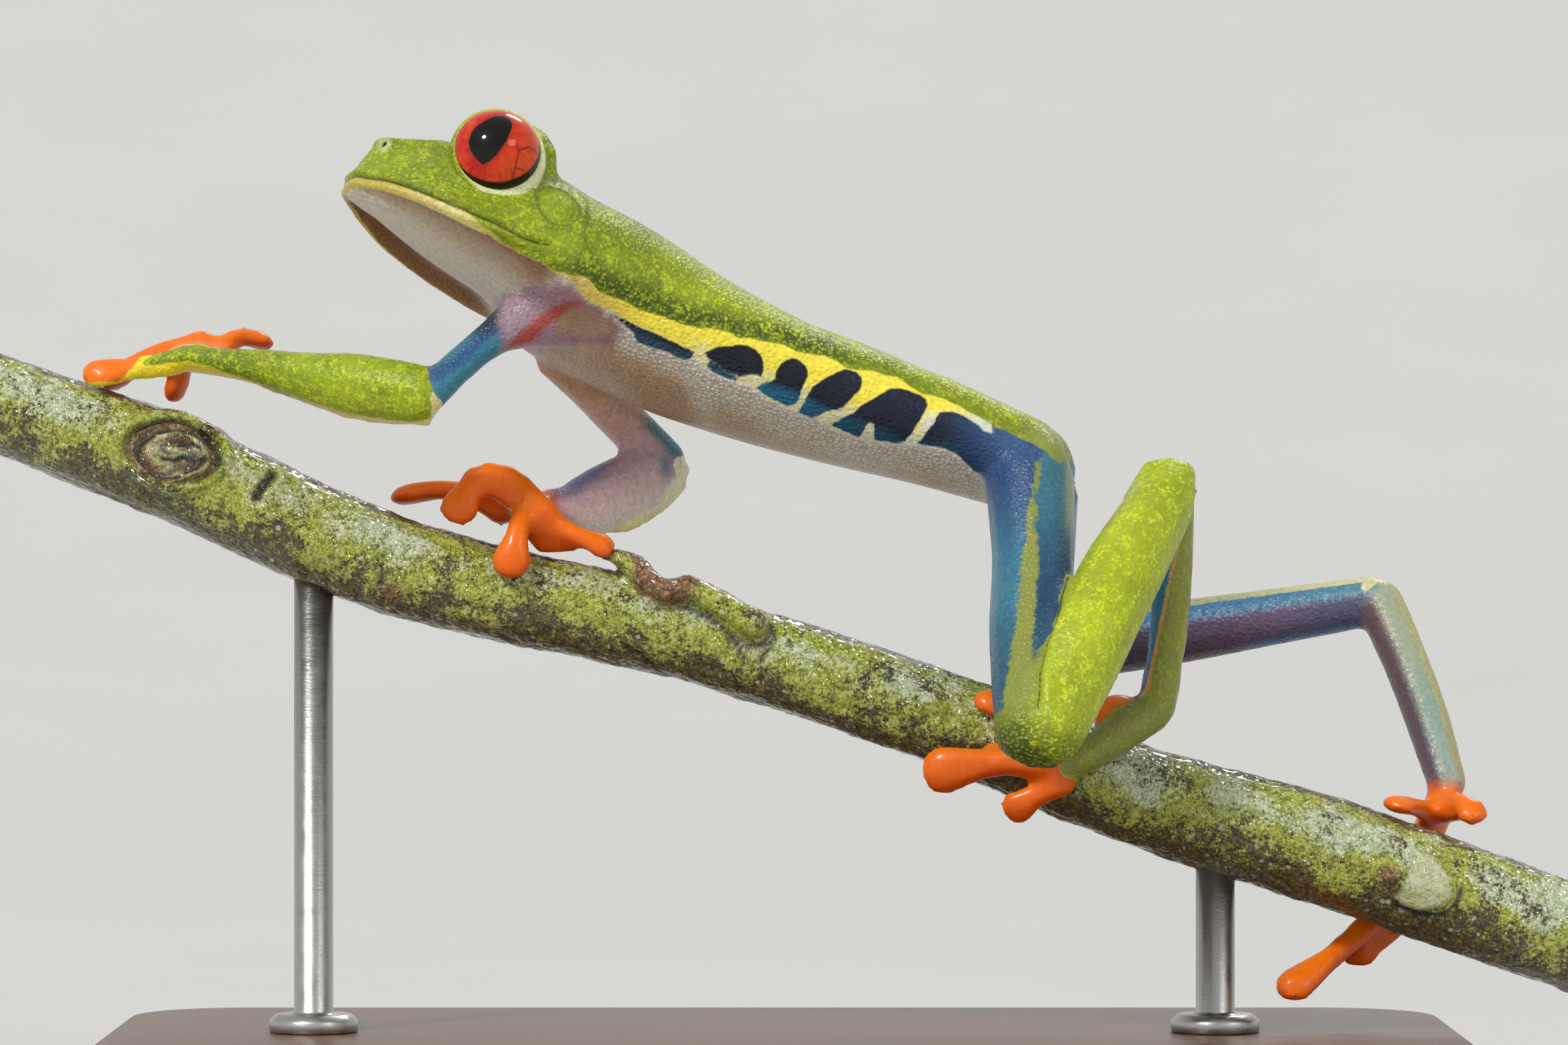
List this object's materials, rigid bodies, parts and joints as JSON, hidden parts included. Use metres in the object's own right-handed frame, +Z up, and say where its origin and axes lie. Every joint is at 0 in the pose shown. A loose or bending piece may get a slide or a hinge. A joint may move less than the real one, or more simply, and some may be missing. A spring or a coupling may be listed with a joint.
{
  "type": "red-eyed tree frog",
  "caption": "Life-size model of a red-eyed tree frog in mid stride on a sloping length of branch, held by rods on a flat wooden base.",
  "frame": {"origin": "middle of the underside of the stand's base", "axes": "+Z up; +X along the base and the branch, with the frog's head towards -X; -Y is the frog's left side"},
  "size_m": [0.1267, 0.052, 0.0763],
  "materials": {
    "back_skin": "moist, finely granular lime-green skin with yellow flecks, blue-black flank bars and a cream belly",
    "throat_skin": "soft cream throat skin with a yellow lip rim",
    "blue_skin": "smooth moist skin, blue-violet to teal with an olive streak",
    "limb_skin": "granular lime-green skin with yellow flecks, cream fringe along the lower edge",
    "foot_skin": "smooth glossy orange skin with rounded pads",
    "eye": "wet glossy eye, red iris with a black upright pupil",
    "bark": "damp bark with moss, grey lichen, a knot and a dead side twig",
    "base_wood": "satin oiled dark hardwood with a fine straight grain",
    "rod_steel": "turned and brushed steel"
  },
  "bodies": {
    "root": {"abdomen": "back_skin", "chest": "back_skin", "eye_left": "eye", "eye_right": "eye", "finger_left_1": "foot_skin", "finger_left_2": "foot_skin", "finger_left_3": "foot_skin", "finger_left_4": "foot_skin", "finger_right_1": "foot_skin", "finger_right_2": "foot_skin", "finger_right_3": "foot_skin", "finger_right_4": "foot_skin", "foot_left": "foot_skin", "foot_right": "foot_skin", "forearm_left": "limb_skin", "forearm_right": "limb_skin", "hand_left": "foot_skin", "hand_right": "foot_skin", "head": "back_skin", "jaw": "throat_skin", "perch": "bark", "shank_left": "limb_skin", "shank_right": "limb_skin", "stand_base": "base_wood", "stand_rod_back": "rod_steel", "stand_rod_front": "rod_steel", "tarsus_left": "limb_skin", "tarsus_right": "limb_skin", "thigh_left": "blue_skin", "thigh_right": "blue_skin", "toe_left_1": "foot_skin", "toe_left_2": "foot_skin", "toe_left_3": "foot_skin", "toe_left_4": "foot_skin", "toe_left_5": "foot_skin", "toe_right_1": "foot_skin", "toe_right_2": "foot_skin", "toe_right_3": "foot_skin", "toe_right_4": "foot_skin", "toe_right_5": "foot_skin", "upper_arm_left": "blue_skin", "upper_arm_right": "blue_skin"}
  },
  "joints": []
}
